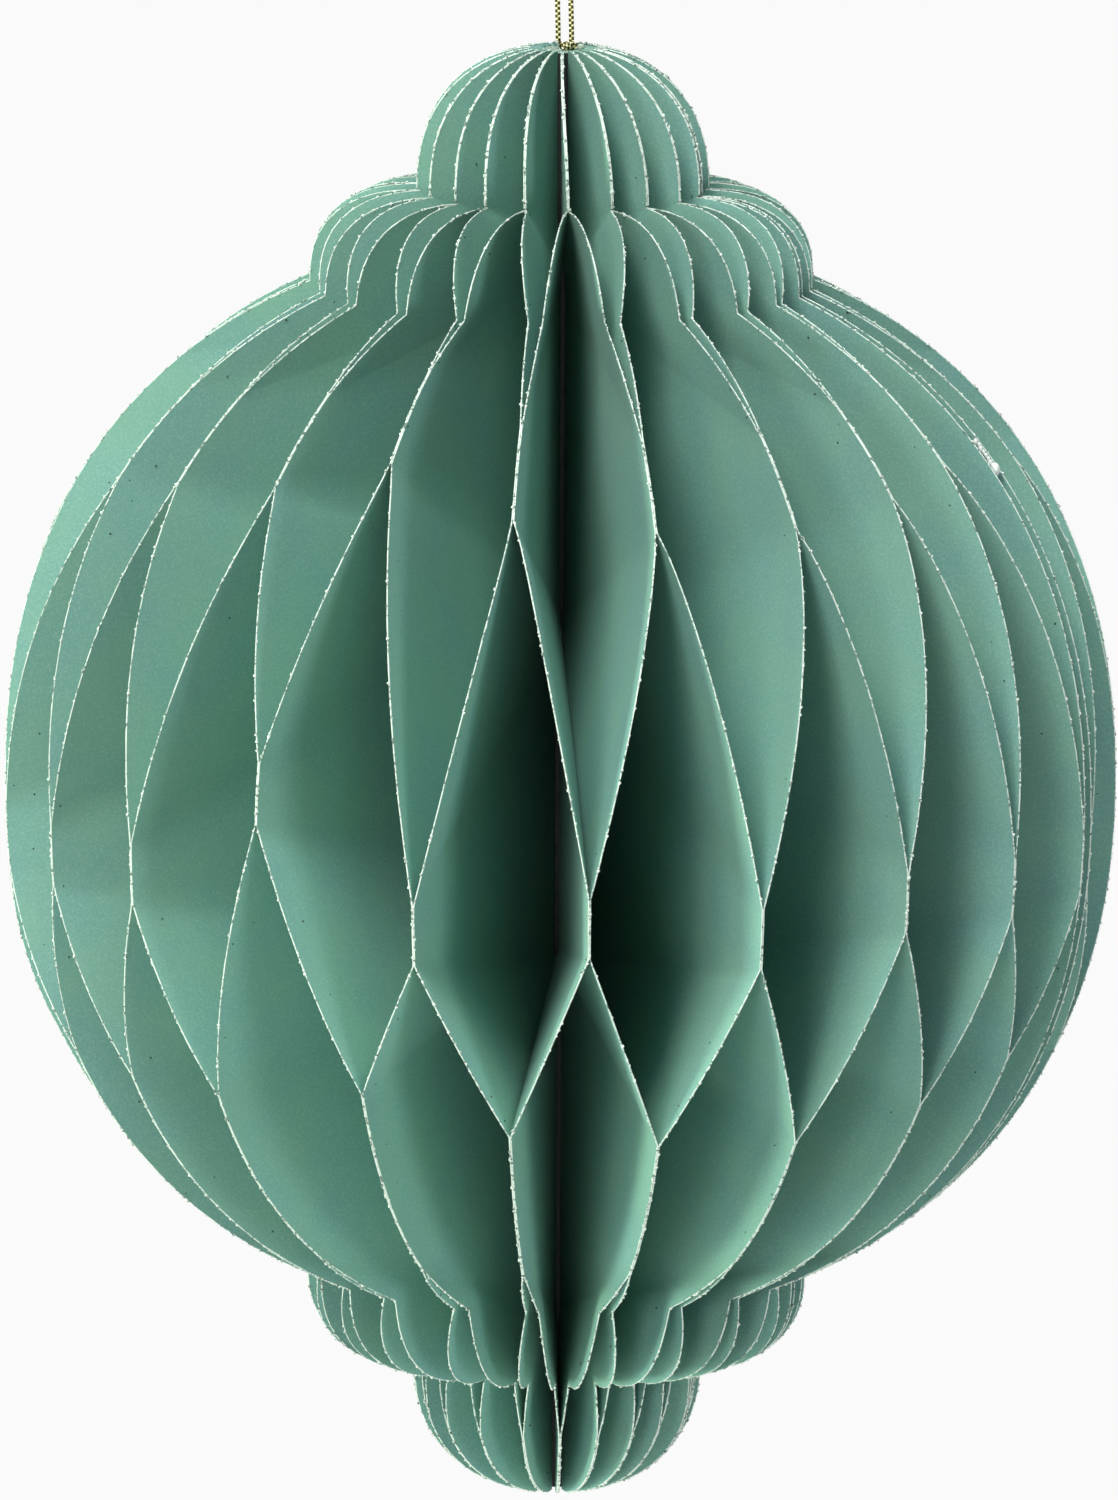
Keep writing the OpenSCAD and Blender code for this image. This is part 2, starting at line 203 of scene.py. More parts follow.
class OrnamentFinish(bpy.types.PropertyGroup):
    """Colours of the paper, the glitter and the cord, and the size of the glitter."""
    paper: tint("Paper", "Sage green of the card", "#82B29F")
    paper_cool: tint("Paper, cool", "Bluer patches in the card", "#7CADA4")
    fibre: tint("Fibre", "Pale fibres and pearl specks in the card", "#96BFB0")
    # Painted shade: near black on the spine's sides between the leaves, in place of the shade deep in the
    # cells
    painted_spine_shade: tint("Binding", "Glue-soaked inner edges of the leaves", "#18211E")
    glitter: tint("Glitter", "Lumps of silver-white glitter on the cut edges", "#E1E9DF")
    thin_glitter: tint("Thin glitter", "Thin coat of glitter all along the cut edges", "#DAE6DB")
    dull_glitter: tint("Dull glitter", "Glitter under the glue on the spine's top", "#A9B8A6")
    # Painted shade: stray grains coloured dark in place of grains that turn away from the light
    painted_shade_glitter: tint("Dark glitter", "Stray grains that turn away from the light", "#33463D")
    # Painted reflection: dark flakes in the glitter in place of flakes that mirror dark surroundings; on the
    # spine's cut ends the same colour is a random mottle
    dark_reflection_and_mottle: tint("Dark flake", "Flakes in the glitter that reflect the dark", "#6C8378")
    gold: tint("Gold", "Metallic film of the cord, on its flanks", "#A39C50")
    # Painted highlight: pale gold on the tops of the cord's loops
    painted_gold_highlight: tint("Bright gold", "Metallic film of the cord, on its loops", "#F6F2CE")
    # Dark thread between the loops, with painted shade in the dips where it shows
    thread_and_dip_shade: tint("Dark thread", "Thread between the gold loops", "#26240A")
    glue: tint("Glue", "White glue of the drop by the seam", "#F4F6F1")
    thick_glue: tint("Thick glue", "Duller lumps in that glue", "#DCE8E0")
    stitch: number("Stitch", "Length of a loop of the braided cord", 0.95, 0.5, 1.5)
    bead: number("Glitter band", "Width of the glitter along a cut edge", 0.26, 0.2, 0.8)
    grain: number("Grain", "Usual width of a glitter grain", 0.22, 0.1, 0.6)
    grains: number("Grains per mm", "Grains along each millimetre of edge", 0.9, 0.1, 3)
    lump_share: number("Lumps", "Share of the grains that are lumps three times as wide", 0.3, 0, 1)
    strays: number("Stray grains per mm", "Grains on the paper beside each millimetre of edge", 0.05, 0, 1)


class StageLook(bpy.types.PropertyGroup):
    """Floor, lights and camera of the picture."""
    floor_colour: tint("Floor", "Plain pale floor", "#FAFAFA")
    floor_drop: number("Floor", "Height of the floor under the loop, mm", 900, 800, 1500)
    left_light: number("Left light", "Power of the soft box low on the left, W", 18, 0, 100)
    key_light: number("Key light", "Power of the soft box high on the left, W", 17.5, 0, 100)
    front_light: number("Front light", "Power of the soft box beside the camera, W", 5, 0, 100)
    right_light: number("Right light", "Power of the soft box on the right, W", 6, 0, 100)
    top_light: number("Top light", "Power of the soft box overhead, W", 10.5, 0, 100)
    back_light: number("Back light", "Power of the soft box behind, W", 15, 0, 100)
    sky: number("Sky", "Level of the light from all around", 0.09, 0, 1)
    distance: number("Distance", "From the camera to the ball's middle, mm", 4700, 1000, 9000)
    elevation: number("Elevation", "Height of the camera over the horizon, degrees", 10.6, -90, 90)
    roll: number("Roll", "Turn of the camera about its view, degrees", 0.28, -5, 5)


class Form:
    """Outline and glue lines of the leaves, in millimetres and degrees, as in the model's own source."""

    def __init__(self, sizes):
        self.s = s = sizes
        self.top = -s.loop_h
        self.neck = self.top - s.dome_h
        self.collar = self.neck - s.shoulder_h
        self.middle = self.collar - s.ball_up
        self.waist = self.middle - s.ball_down
        self.hip = self.waist - s.scallop_h
        self.tip = self.hip - s.tail_h
        self.leaves = 2 * s.cells
        self.pitch = (360 - s.seam_open) / self.leaves
        self.room = s.leaf_t + s.glue_t
        self.spine_r = 2 * self.room / math.sin(math.radians(self.pitch)) + s.spine_glue
        self.inner_r = self.spine_r + s.glue_t
        self.start_r = self.spine_r + END_GAP

    def own(self, values, i):
        """The entry of a list for glue line i, or 0 past its end."""
        k = (i - 1) // 2 if i % 2 else i // 2 - 1
        return values[k] if 0 < i < self.leaves and k < len(values) else 0

    def line_of(self, j, row):
        """The glue line that leaf j keeps to in a row."""
        return j - 1 if (j - 1) % 2 == row % 2 else j

    def row_top(self, row):
        s = self.s
        return [self.top, self.middle + s.upper_top, self.middle - s.middle_top,
                self.middle - s.lower_top, self.hip - s.tail_glue][row]

    def row_end(self, row):
        s = self.s
        if row in (0, 4):
            return self.tip if row else self.neck
        return self.row_top(row) - [0, s.upper_len, s.middle_len, s.lower_len][row]

    def glue_top(self, j, row):
        return self.row_top(row) + self.own(SHIFT[row], self.line_of(j, row))

    def glue_end(self, j, row):
        return self.row_end(row) + (0 if row == 3 else self.own(SHIFT[row], self.line_of(j, row)))

    def glue_angle(self, j, row):
        i = self.line_of(j, row)
        return self.s.seam_angle - self.s.seam_open / 2 - i * self.pitch + self.own(STRAY[row], i)

    def glue_side(self, j, row):
        """From the glue line's plane to the leaf's middle."""
        i = self.line_of(j, row)
        side = 1 if i == j else -1
        return side * (self.room / 2 + (self.room if i in (0, self.leaves) else 0))

    def ball_radius(self, z):
        s = self.s
        edge, height = (s.shoulder_r, s.ball_up) if z > self.middle else (s.scallop_r, s.ball_down)
        half = height / (1 - (edge / s.ball_r) ** s.ball_full) ** (1 / s.ball_full)
        return s.ball_r * (1 - (abs(z - self.middle) / half) ** s.ball_full) ** (1 / s.ball_full)

    def tail_radius(self, z):
        s = self.s
        return s.tail_r * (1 - ((self.hip - z) / s.tail_h) ** s.dome_full) ** (1 / s.dome_full)

    def dome_rise(self, r, foot_r, height):
        full = self.s.dome_full
        return height * (1 - (r / foot_r) ** full) ** (1 / full)

    def quarter(self, r0, r1, z0, z1, full, steps, level_first):
        """Quarter of a full curve that starts level and ends upright, or the other way round."""
        line = []
        for k in range(steps + 1):
            a = math.pi / 2 * k / steps
            s, c = abs(math.sin(a)) ** (2 / full), abs(math.cos(a)) ** (2 / full)
            if level_first:
                line.append((mix(r0, r1, s), mix(z1, z0, c)))
            else:
                line.append((mix(r1, r0, c), mix(z0, z1, s)))
        return line

    def outline(self, j):
        """Three parts of the outline of leaf j from the top down, as (radius, height)."""
        s = self.s
        dome = self.quarter(0, s.dome_r, self.top, self.neck + s.notch, s.dome_full, DOME_STEPS, True)
        dome = [(self.start_r, self.neck + self.dome_rise(self.start_r, s.dome_r, s.dome_h))] + [
            p for p in dome if p[0] > self.start_r + END_STEP]
        stops = [self.collar]
        for row in (1, 2, 3):
            stops += [self.glue_top(j, row), self.glue_end(j, row)]
        stops.append(self.waist)
        body = self.quarter(s.dome_r - s.notch, s.shoulder_r, self.neck, self.collar, s.shoulder_full,
                            SHOULDER_STEPS, True)
        for a, b, count in zip(stops, stops[1:], BALL_STEPS):
            heights = [mix(a, b, k / count) for k in range(1, count + 1)]
            body += [(self.ball_radius(z), z) for z in heights if z > self.waist + 0.01]
        body += self.quarter(s.scallop_r, s.tail_r - s.notch, self.waist, self.hip, s.shoulder_full,
                             SCALLOP_STEPS, False)
        body += [(self.tail_radius(self.hip - d), self.hip - d)
                 for d in (s.notch, mix(s.notch, s.tail_glue, 0.3), mix(s.notch, s.tail_glue, 0.65))]
        tail = []
        for k in range(TAIL_STEPS):
            a = math.pi / 2 * k / TAIL_STEPS
            z = self.hip - mix(s.tail_glue, s.tail_h, math.sin(a))
            if self.tail_radius(z) > self.start_r + END_STEP:
                tail.append((self.tail_radius(z), z))
        tail.append((self.start_r, self.hip - self.dome_rise(self.start_r, s.tail_r, s.tail_h)))
        return dome, body, tail

    def row_start(self, j, row):
        z = self.glue_top(j, row)
        return (self.tail_radius(z) if row == 4 else self.ball_radius(z), z)

    def row_stop(self, j, row):
        z = self.glue_end(j, row)
        return (self.s.dome_r - self.s.notch if row == 0 else self.ball_radius(z), z)

    def turn_spot(self, j, row):
        """Height on the axis at which all rungs of a turn point."""
        return (self.glue_end(j, row) + self.glue_top(j, row + 1)) / 2

    def turned(self, j, row, p):
        """Share of a row's turn that leaf j has made at the outline's point p."""
        spot = self.turn_spot(j, row)
        (r0, z0), (r1, z1) = self.row_stop(j, row), self.row_start(j, row + 1)
        first, last = (z0 - spot) / r0, (z1 - spot) / r1
        share = (first - (p[1] - spot) / p[0]) / (first - last)
        return min(1, max(0, share)) ** (ODD_SWING if j % 2 else EVEN_SWING)[row]

    def leaf_place(self, j, p):
        """Azimuth of leaf j at the outline's point p, and its distance from that azimuth's plane."""
        turn = max(0, (p[1] - self.neck) / self.s.dome_h) ** DOME_SWING
        angle = self.glue_angle(j, 0) - self.own(DOME_TURN, self.line_of(j, 0)) * turn
        side = self.glue_side(j, 0)
        for row in range(4):
            share = self.turned(j, row, p)
            angle += (self.glue_angle(j, row + 1) - self.glue_angle(j, row)) * share
            side += (self.glue_side(j, row + 1) - self.glue_side(j, row)) * share
        return angle, side

    def rung_foot(self, j, row, p):
        spot = self.turn_spot(j, row)
        return spot + (p[1] - spot) * self.inner_r / p[0]

    def body_foot(self, j, p):
        """Height at the spine of the rung to the outline's point p, between dome and tail."""
        row = sum(p[1] <= self.glue_end(j, k) for k in (1, 2, 3))
        if p[1] >= self.glue_top(j, row + 1):
            return self.rung_foot(j, row, p)
        start, stop = self.row_start(j, row + 1), self.row_stop(j, row + 1)
        share = (start[1] - p[1]) / (start[1] - stop[1])
        return mix(self.rung_foot(j, row, start), self.rung_foot(j, row + 1, stop), share)

    def rungs(self, j):
        """Radius and height of each rung's outer end, and the height of its foot at the spine."""
        dome, body, tail = self.outline(j)
        tail_foot = self.rung_foot(j, 3, self.row_start(j, 4))
        feet = [mix(dome[0][1], self.neck - DOME_REACH, k / len(dome)) for k in range(len(dome))]
        feet += [self.body_foot(j, p) for p in body]
        feet += [mix(tail_foot, tail[-1][1], k / (len(tail) - 1)) for k in range(len(tail))]
        return [(p[0], p[1], foot) for p, foot in zip(dome + body + tail, feet)]

    def spot_at(self, angle, r, side, z):
        """A point in metres at a radius and height, off to one side of the plane of an azimuth."""
        a = math.radians(angle)
        return Vector((r * math.sin(a) + side * math.cos(a), side * math.sin(a) - r * math.cos(a), z)) * MM


def finish_piece(name, bm, materials, replaced=(), smooth=True):
    """Turns a bmesh into a piece that rides on the ornament."""
    mesh = bpy.data.meshes.new(name)
    bm.to_mesh(mesh)
    bm.free()
    for material in materials:
        mesh.materials.append(material)
    mesh.polygons.foreach_set("use_smooth", [smooth] * len(mesh.polygons))
    piece = bpy.data.objects.new(name, mesh)
    bpy.context.scene.collection.objects.link(piece)
    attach(piece, "root")
    if replaced:
        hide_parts(*replaced)
    return piece


def add_node(tree, kind, settings=None, inputs=None):
    """Adds a node, sets its properties and fills or links its inputs."""
    node = tree.nodes.new(kind)
    for key, value in (settings or {}).items():
        setattr(node, key, value)
    for key, value in (inputs or {}).items():
        if isinstance(value, bpy.types.NodeSocket):
            tree.links.new(value, node.inputs[key])
        else:
            node.inputs[key].default_value = value
    return node


def new_material(name):
    """The node tree of a new material, empty but for its output, and that output."""
    material = bpy.data.materials.new(name)
    material.use_nodes = True
    tree = material.node_tree
    tree.nodes.clear()
    return tree, add_node(tree, "ShaderNodeOutputMaterial")


def dyed_card():
    """Dyed uncoated card, 220 g: a fine felt of fibres 0.4 mm apart, with pearly specks 0.25 mm wide."""
    look = bpy.context.scene.ornament_finish
    tree, out = new_material("dyed_sage_card")
    place = add_node(tree, "ShaderNodeTexCoord").outputs["Object"]
    cloud = add_node(tree, "ShaderNodeTexNoise", None,
                     {"Vector": place, "Scale": 55, "Detail": 3, "Roughness": 0.55}).outputs["Fac"]
    felt = add_node(tree, "ShaderNodeTexNoise", None,
                    {"Vector": place, "Scale": 2600, "Detail": 2, "Roughness": 0.6}).outputs["Fac"]
    specks = add_node(tree, "ShaderNodeTexVoronoi", None, {"Vector": place, "Scale": 650}).outputs["Distance"]
    patches = add_node(tree, "ShaderNodeMapRange", {"interpolation_type": "SMOOTHSTEP"},
                       {"Value": cloud, "From Min": 0.35, "From Max": 0.65}).outputs["Result"]
    fibres = add_node(tree, "ShaderNodeMapRange", {"interpolation_type": "SMOOTHSTEP"},
                      {"Value": felt, "From Min": 0.4, "From Max": 0.8}).outputs["Result"]
    pearls = add_node(tree, "ShaderNodeMapRange", {"interpolation_type": "SMOOTHSTEP"},
                      {"Value": specks, "From Min": 0.09, "From Max": 0.05}).outputs["Result"]
    base = add_node(tree, "ShaderNodeMix", {"data_type": "RGBA"},
                    {"Factor": patches, MIX_A: tuple(look.paper),
                     MIX_B: tuple(look.paper_cool)}).outputs[MIX_RESULT]
    base = add_node(tree, "ShaderNodeMix", {"data_type": "RGBA"},
                    {"Factor": fibres, MIX_A: base, MIX_B: tuple(look.fibre)}).outputs[MIX_RESULT]
    base = add_node(tree, "ShaderNodeMix", {"data_type": "RGBA"},
                    {"Factor": pearls, MIX_A: base, MIX_B: tuple(look.fibre)}).outputs[MIX_RESULT]
    bump = add_node(tree, "ShaderNodeBump", None,
                    {"Height": felt, "Strength": 0.25, "Distance": 0.0001}).outputs["Normal"]
    shader = add_node(tree, "ShaderNodeBsdfPrincipled", None,
                      {"Base Color": base, "Roughness": 0.75, "Specular IOR Level": 0.12, "Normal": bump,
                       "Sheen Weight": 0.04, "Sheen Roughness": 0.5})
    tree.links.new(shader.outputs["BSDF"], out.inputs["Surface"])


def glued_glitter(name, colour):
    """Glitter in clear glue: flakes 0.45 mm apart, of which some are coloured dark as a painted reflection of
    dark surroundings.
    """
    look = bpy.context.scene.ornament_finish
    tree, out = new_material(name)
    place = add_node(tree, "ShaderNodeTexCoord").outputs["Object"]
    cells = add_node(tree, "ShaderNodeTexVoronoi", None, {"Vector": place, "Scale": 2200}).outputs["Color"]
    grey = add_node(tree, "ShaderNodeSeparateColor", None, {"Color": cells}).outputs["Red"]
    # Painted reflection: a share of the flakes takes the dark colour
    dark = add_node(tree, "ShaderNodeMapRange", {"interpolation_type": "SMOOTHSTEP"},
                    {"Value": grey, "From Min": 0.3, "From Max": 0.05}).outputs["Result"]
    base = add_node(tree, "ShaderNodeMix", {"data_type": "RGBA"},
                    {"Factor": dark, MIX_A: tuple(colour), MIX_B: tuple(look.dark_reflection_and_mottle)}).outputs[MIX_RESULT]
    bump = add_node(tree, "ShaderNodeBump", None,
                    {"Height": grey, "Strength": 0.5, "Distance": 0.0001}).outputs["Normal"]
    shader = add_node(tree, "ShaderNodeBsdfPrincipled", None,
                      {"Base Color": base, "Metallic": 0.2, "Roughness": 0.6,
                       "Specular IOR Level": 0.3, "Normal": bump})
    tree.links.new(shader.outputs["BSDF"], out.inputs["Surface"])


def braided_lurex():
    """Braided metallic yarn: loops of flat gold film over dark thread, each about 1 mm long, with painted
    shade in the dips between the loops and a painted highlight on their tops.
    """
    look = bpy.context.scene.ornament_finish
    tree, out = new_material("braided_lurex_cord")
    uv = add_node(tree, "ShaderNodeUVMap").outputs["UV"]
    parts = add_node(tree, "ShaderNodeSeparateXYZ", None, {"Vector": uv}).outputs
    waves = []
    for part in ("X", "Y"):
        turn = add_node(tree, "ShaderNodeMath", {"operation": "MULTIPLY"}, {0: parts[part], 1: math.tau})
        waves.append(add_node(tree, "ShaderNodeMath", {"operation": "SINE"}, {0: turn.outputs[0]}).outputs[0])
    check = add_node(tree, "ShaderNodeMath", {"operation": "MULTIPLY"}, {0: waves[0], 1: waves[1]}).outputs[0]
    # Dark thread with painted shade where the surface dips between the loops
    shadow = add_node(tree, "ShaderNodeMapRange", {"interpolation_type": "SMOOTHSTEP"},
                      {"Value": check, "From Min": -0.1, "From Max": 0.3}).outputs["Result"]
    # Painted highlight on the loops' tops
    shine = add_node(tree, "ShaderNodeMapRange", {"interpolation_type": "SMOOTHSTEP"},
                     {"Value": check, "From Min": -0.2, "From Max": -0.6}).outputs["Result"]
    base = add_node(tree, "ShaderNodeMix", {"data_type": "RGBA"},
                    {"Factor": shadow, MIX_A: tuple(look.gold),
                     MIX_B: tuple(look.thread_and_dip_shade)}).outputs[MIX_RESULT]
    base = add_node(tree, "ShaderNodeMix", {"data_type": "RGBA"},
                    {"Factor": shine, MIX_A: base, MIX_B: tuple(look.painted_gold_highlight)}).outputs[MIX_RESULT]
    bump = add_node(tree, "ShaderNodeBump", {"invert": True},
                    {"Height": check, "Strength": 0.6, "Distance": 0.0002}).outputs["Normal"]
    shader = add_node(tree, "ShaderNodeBsdfPrincipled", None,
                      {"Base Color": base, "Metallic": 0.4, "Roughness": 0.35, "Normal": bump})
    tree.links.new(shader.outputs["BSDF"], out.inputs["Surface"])


def spine_ends_and_shade():
    """The leaves' inner edges on the spine: near-black painted shade on its sides, deep in the cells, and cut
    paper on its ends.
    """
    look = bpy.context.scene.ornament_finish
    tree, out = new_material("spine_ends_and_painted_shade")
    place = add_node(tree, "ShaderNodeTexCoord").outputs["Object"]
    felt = add_node(tree, "ShaderNodeTexNoise", None,
                    {"Vector": place, "Scale": 900, "Detail": 3}).outputs["Fac"]
    normal = add_node(tree, "ShaderNodeNewGeometry").outputs["Normal"]
    level = add_node(tree, "ShaderNodeSeparateXYZ", None, {"Vector": normal}).outputs["Z"]
    slope = add_node(tree, "ShaderNodeMath", {"operation": "ABSOLUTE"}, {0: level}).outputs[0]
    ends = add_node(tree, "ShaderNodeMapRange", {"interpolation_type": "SMOOTHSTEP"},
                    {"Value": slope, "From Min": 0.2, "From Max": 0.6}).outputs["Result"]
    rough = add_node(tree, "ShaderNodeMapRange", {"interpolation_type": "SMOOTHSTEP"},
                     {"Value": felt, "From Min": 0.4, "From Max": 0.7}).outputs["Result"]
    # Random dark mottle on the spine's cut ends
    edges = add_node(tree, "ShaderNodeMix", {"data_type": "RGBA"},
                     {"Factor": rough, MIX_A: tuple(look.paper_cool),
                      MIX_B: tuple(look.dark_reflection_and_mottle)}).outputs[MIX_RESULT]
    # Painted shade on the spine's sides, cut paper on its top and bottom ends
    base = add_node(tree, "ShaderNodeMix", {"data_type": "RGBA"},
                    {"Factor": ends, MIX_A: tuple(look.painted_spine_shade), MIX_B: edges}).outputs[MIX_RESULT]
    bump = add_node(tree, "ShaderNodeBump", None,
                    {"Height": felt, "Strength": 0.6, "Distance": 0.0003}).outputs["Normal"]
    shader = add_node(tree, "ShaderNodeBsdfPrincipled", None,
                      {"Base Color": base, "Roughness": 0.5, "Normal": bump})
    tree.links.new(shader.outputs["BSDF"], out.inputs["Surface"])


def dried_glue():
    """A drop of white craft glue, dried glossy, with lumps 0.7 mm apart."""
    look = bpy.context.scene.ornament_finish
    tree, out = new_material("dried_white_glue")
    place = add_node(tree, "ShaderNodeTexCoord").outputs["Object"]
    lumps = add_node(tree, "ShaderNodeTexNoise", None, {"Vector": place, "Scale": 1500}).outputs["Fac"]
    base = add_node(tree, "ShaderNodeMix", {"data_type": "RGBA"},
                    {"Factor": lumps, MIX_A: tuple(look.glue),
                     MIX_B: tuple(look.thick_glue)}).outputs[MIX_RESULT]
    shader = add_node(tree, "ShaderNodeBsdfPrincipled", None, {"Base Color": base, "Roughness": 0.25})
    tree.links.new(shader.outputs["BSDF"], out.inputs["Surface"])


def grid_sheet(across, along, place, uv_at=None):
    """A grid whose points are moved to place(u, v), with u and v from 0 to 1, and a UV map of uv_at(u, v)."""
    bm = bmesh.new()
    bmesh.ops.create_grid(bm, x_segments=along, y_segments=across, size=0.5)
    if uv_at:
        uv = bm.loops.layers.uv.new("UVMap")
        for face in bm.faces:
            for loop in face.loops:
                loop[uv].uv = uv_at(loop.vert.co.x + 0.5, loop.vert.co.y + 0.5)
    for vert in bm.verts:
        vert.co = place(vert.co.x + 0.5, vert.co.y + 0.5)
    return bm


def closed_tube(sides, steps, place, uv_at=None):
    """A grid that is joined round and closed at its two ends."""
    bm = grid_sheet(sides, steps, place, uv_at)
    bmesh.ops.remove_doubles(bm, verts=bm.verts, dist=1e-7)
    bmesh.ops.holes_fill(bm, edges=[e for e in bm.edges if e.is_boundary], sides=0)
    bmesh.ops.recalc_face_normals(bm, faces=bm.faces)
    return bm


def direction_at(points, k):
    """Direction along a line of points at point k."""
    a, b = points[max(k - 1, 0)], points[min(k + 1, len(points) - 1)]
    return (b - a).normalized()


def leaf_sheet(name, form, rungs, places, node):
    """One leaf as a sheet of rungs with the paper's thickness."""
    last = len(rungs) - 1

    def place(u, v):
        k = round(u * last)
        (r, z, foot), (angle, side) = rungs[k], places[k]
        return form.spot_at(angle, mix(r, form.inner_r, v), side, mix(z, foot, v))

    bm = grid_sheet(LEAF_BANDS, last, place)
    for edge in bm.edges:
        edge.smooth = not edge.is_boundary
    bmesh.ops.recalc_face_normals(bm, faces=bm.faces)
    leaf = finish_piece(name, bm, [bpy.data.materials["dyed_sage_card"]], [node])
    wall = leaf.modifiers.new("paper_thickness", "SOLIDIFY")
    wall.thickness = form.s.leaf_t * MM
    wall.offset = 0


def grain_mesh():
    """One angular grain, 1 m wide, to be scaled."""
    bm = bmesh.new()
    bmesh.ops.create_uvsphere(bm, u_segments=4, v_segments=2, radius=0.5)
    mesh = bpy.data.meshes.new("grain")
    bm.to_mesh(mesh)
    bm.free()
    return mesh


def add_grain(bm, grain, put):
    """Adds a copy of the grain to a bmesh, placed by the matrix put."""
    grain.transform(put)
    bm.from_mesh(grain)
    grain.transform(put.inverted())


def glitter_edge(name, form, rungs, places, seed):
    """Glitter along a leaf's cut edge: a rough band, grains that stand out of it and strays beside it."""
    look = bpy.context.scene.ornament_finish
    rand = random.Random(seed)
    line = [form.spot_at(angle, r, side, z) for (r, z, foot), (angle, side) in zip(rungs, places)]
    outward = [Vector((math.sin(math.radians(a)), -math.cos(math.radians(a)), 0)) for a, side in places]
    last = len(line) - 1
    widths = [[look.bead / 2 * MM * rand.uniform(*BAND_WIDTHS) for n in range(BAND_SIDES)]
              for k in range(last + 1)]

    def directions(k):
        """Across the paper and away from it at point k of the edge."""
        along = direction_at(line, k)
        across = along.cross(outward[k]).normalized()
        return across, across.cross(along)

    def place(u, v):
        k, n = round(u * last), round(v * BAND_SIDES) % BAND_SIDES
        across, up = directions(k)
        turn = math.tau * n / BAND_SIDES
        width = widths[k][n] * (BAND_END if k in (0, last) else 1)
        return line[k] + (across * math.cos(turn) + up * math.sin(turn)) * width

    bm = closed_tube(BAND_SIDES, last, place)
    for face in bm.faces:
        face.material_index = EDGE_GLITTERS.index("thin")
    grain = grain_mesh()
    for k in range(last):
        step = (line[k + 1] - line[k]).length / MM
        across, up = directions(k)
        for n in range(int(step * look.grains + rand.random())):
            width = look.grain * MM * rand.uniform(*GRAIN_WIDTHS)
            if rand.random() < look.lump_share:
                width *= LUMP_WIDTH
            lean = rand.uniform(-GRAIN_LEAN, GRAIN_LEAN)
            spot = line[k].lerp(line[k + 1], rand.random())
            spot += (across * math.sin(lean) + up * math.cos(lean)) * look.bead / 2 * MM
            turn = Quaternion((1, rand.uniform(-1, 1), rand.uniform(-1, 1), rand.uniform(-1, 1))).normalized()
            turned = turn.to_matrix().to_4x4() @ Matrix.Scale(width, 4)
            add_grain(bm, grain, Matrix.Translation(spot) @ turned)
        for n in range(int(step * look.strays + rand.random())):
            inward, way = rand.uniform(*STRAY_REACH), rand.choice((-1, 1))
            (r, z, foot), (angle, side) = rungs[k], places[k]
            share = min(0.5, inward / (r - form.inner_r))
            spot = form.spot_at(angle, mix(r, form.inner_r, share), side + way * form.s.leaf_t * 0.6,
                                mix(z, foot, share))
            width = look.grain * MM * rand.uniform(*STRAY_WIDTHS)
            add_grain(bm, grain, Matrix.Translation(spot) @ Matrix.Scale(width, 4))
            # Painted shade: the stray grains take the dark glitter
            bm.faces.ensure_lookup_table()
            for face in bm.faces[-len(grain.polygons):]:
                face.material_index = EDGE_GLITTERS.index("dark")
    bpy.data.meshes.remove(grain)
    kinds = [bpy.data.materials["glued_%s_glitter" % kind] for kind in EDGE_GLITTERS]
    finish_piece(name, bm, kinds, smooth=False)


def seen_directly(tree):
    """1 for the camera's rays and for those that are mirrored or let through, and 0 for all others."""
    path = add_node(tree, "ShaderNodeLightPath")
    glossy = add_node(tree, "ShaderNodeMath", {"operation": "MAXIMUM"},
                      {0: path.outputs["Is Camera Ray"], 1: path.outputs["Is Glossy Ray"]}).outputs[0]
    return add_node(tree, "ShaderNodeMath", {"operation": "MAXIMUM"},
                    {0: glossy, 1: path.outputs["Is Transmission Ray"]}).outputs[0]


